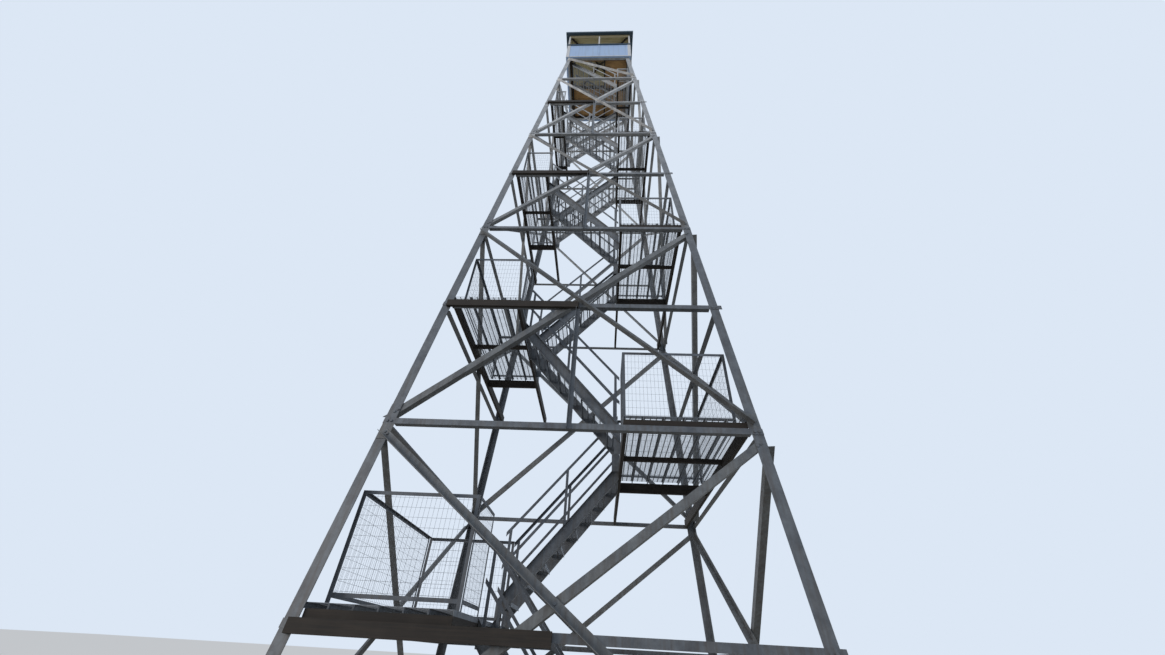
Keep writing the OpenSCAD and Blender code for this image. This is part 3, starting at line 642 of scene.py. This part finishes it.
wall_low, wall_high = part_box("cab_walls")
wall_t, sill_t, sill_out, sill_lap, post_half = 0.050, 0.022, 0.045, 0.004, 0.026
outer, inner = wall_high.x, wall_high.x - wall_t
sill_z0, sill_z1 = wall_high.z, wall_high.z + sill_t
sills = []
for s in (-1, 1):
    y0, y1 = sorted((s * (inner - sill_lap), s * outer))
    for a, b in ((-inner, -post_half), (post_half, inner)):
        sills.append(((a, y0, sill_z0), (b, y1, sill_z1)))
        sills.append(((y0, a, sill_z0), (y1, b, sill_z1)))
    y0, y1 = sorted((s * outer, s * (outer + sill_out)))
    sills.append(((-outer - sill_out, y0, sill_z0), (outer + sill_out, y1, sill_z1)))
    sills.append(((y0, -outer, sill_z0), (y1, outer, sill_z1)))
boards("sill_boards", sills, dark_paint)

# Trim of the walls: white corner boards 100 mm wide and base boards 40 mm high, nailed
# over the wall sheets, and a strip in the wall colour over the seam in the middle.
trim_t, corner_w, base_h, strip_half = 0.008, 0.100, 0.040, 0.030
base = wall_low.z + base_h
trims, strips = [], []
for s in (-1, 1):
    y0, y1 = sorted((s * outer, s * (outer + trim_t)))
    for e in (-1, 1):
        x0, x1 = sorted((e * (outer - corner_w), e * (outer + trim_t)))
        trims.append(((x0, y0, wall_low.z), (x1, y1, wall_high.z)))
        x0, x1 = sorted((e * (outer - corner_w), e * outer))
        trims.append(((y0, x0, wall_low.z), (y1, x1, wall_high.z)))
    trims.append(((corner_w - outer, y0, wall_low.z), (outer - corner_w, y1, base)))
    trims.append(((y0, corner_w - outer, wall_low.z), (y1, outer - corner_w, base)))
    strips.append(((-strip_half, y0, base), (strip_half, y1, wall_high.z)))
    strips.append(((y0, -strip_half, base), (y1, strip_half, wall_high.z)))
boards("wall_trim", trims, post_paint)
boards("seam_strips", strips, wall_paint_painted_skylight)

# Hip rafters: four dark stained timbers that rise from the corners to the peak and
# carry the roof.
coat(["rafters"], stained_timber("stained rafter timber", 2, "#181410", "#3A2E24"))

# Roof sheet: dark painted sheet metal on four slopes that meet at the peak, laid over
# boards and carried by the rafters. Its chalky paint has clouded as that of the walls.
roof_low, roof_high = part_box("roof")
reach, peak = roof_high.x, roof_high.z
fascia_h, fascia_t, roof_t, cover_t = 0.080, 0.025, 0.040, 0.012
edge_z = roof_low.z + fascia_h
fall = (peak - edge_z) / reach
under_t, peak_gap = roof_t - cover_t, 0.0005
cover_paint = chalky_paint("dark sheet paint", "#3C4347", "#2A3034")


def on_slope(x):
    """Height of the roof's top at a distance from the middle."""
    return peak - x * fall


def slope_strip(side, x0, x1, top0, top1, thick, vertices, faces, ends=None):
    """A strip of one roof slope between distances x0 and x1 from the middle, out to the
    hips or between two ends."""
    first = len(vertices)
    for x, z in ((x0, top0), (x1, top1)):
        for drop in (thick, 0):
            for u in ends or (-x, x):
                px, py = u, -x
                for _ in range(side):
                    px, py = -py, px
                vertices.append((px, py, z - drop))
    faces += [tuple(first + i for i in f) for f in box_faces]


vertices, faces = [], []
for side in range(4):
    slope_strip(side, peak_gap, reach, peak, edge_z, cover_t, vertices, faces)
cover = solid("roof_sheet", vertices, faces, cover_paint)
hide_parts("roof")

# Standing seams: ribs folded up 18 mm high where two sheets meet, 350 mm apart. They
# run straight down each slope, from beside the hips or near the peak to the edge.
seam_h, seam_sink, seam_half, seam_pitch = 0.018, 0.0005, 0.006, 0.35
seam_end, seam_first, hip_room = 0.004, 0.100, 0.015
vertices, faces = [], []
for side in range(4):
    for i in range(-3, 4):
        u = i * seam_pitch
        x0, x1 = max(abs(u) + hip_room, seam_first), reach - seam_end
        slope_strip(side, x0, x1, on_slope(x0) + seam_h, on_slope(x1) + seam_h,
                    seam_h + seam_sink, vertices, faces, (u - seam_half, u + seam_half))
seams = solid("roof_seams", vertices, faces, cover_paint)

# Hip caps: a six-sided cap folded from the same sheet covers each hip, from near the
# peak to the corner of the eaves, and is sunk a little into the slopes beside it.
cap_r, cap_sink, cap_start, cap_end = 0.016, 0.003, 0.080, 0.015
hips = [[(sx * x, sy * x, on_slope(x) - cap_sink) for x in (cap_start, reach - cap_end)]
        for sx, sy in corners]
bars_along("hip_caps", hips, cap_r, 6, cover_paint)

# Ceiling: sawn boards gone tan lie level across the rafters of each slope, as far out
# as the walls. They are 101 mm wide with open joints of 4 mm, and the grain follows them.
board_w, board_gap, board_first, least_board = 0.105, 0.004, 0.010, 0.001
for name, sides, along in (("ceiling_front_back", (0, 2), 0), ("ceiling_left_right", (1, 3), 1)):
    vertices, faces = [], []
    for side in sides:
        x0 = board_first
        while x0 < outer - least_board:
            x1 = min(x0 + board_w - board_gap, outer)
            slope_strip(side, x0, x1, on_slope(x0) - cover_t, on_slope(x1) - cover_t,
                        under_t, vertices, faces)
            x0 += board_w
    tan_boards = stained_timber("tan roof boards", along, "#AFA578", "#D8CEA2")
    ceiling = solid(name, vertices, faces, tan_boards)
    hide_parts("roof")

# Eave boards: the boarding under the overhang, from the walls to the fascias, painted
# the same dark blue-grey as the sills.
soffit_gap = 0.003
x0, x1 = outer + soffit_gap, reach - fascia_t
vertices, faces = [], []
for side in range(4):
    slope_strip(side, x0, x1, on_slope(x0) - cover_t, on_slope(x1) - cover_t, under_t,
                vertices, faces)
soffit = solid("eave_boards", vertices, faces, dark_paint)
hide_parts("roof")

# Fascias: boards 25 mm thick nailed round the edge of the roof under its sheet. The
# front and back ones run from corner to corner, and the side ones fit between them.
edges = []
for s in (-1, 1):
    y0, y1 = sorted((s * (reach - fascia_t), s * reach))
    edges.append(((-reach, y0, roof_low.z), (reach, y1, edge_z - cover_t)))
    edges.append(((y0, -reach + fascia_t, roof_low.z), (y1, reach - fascia_t, edge_z - cover_t)))
fascias = boards("fascias", edges, dark_paint)
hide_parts("roof")
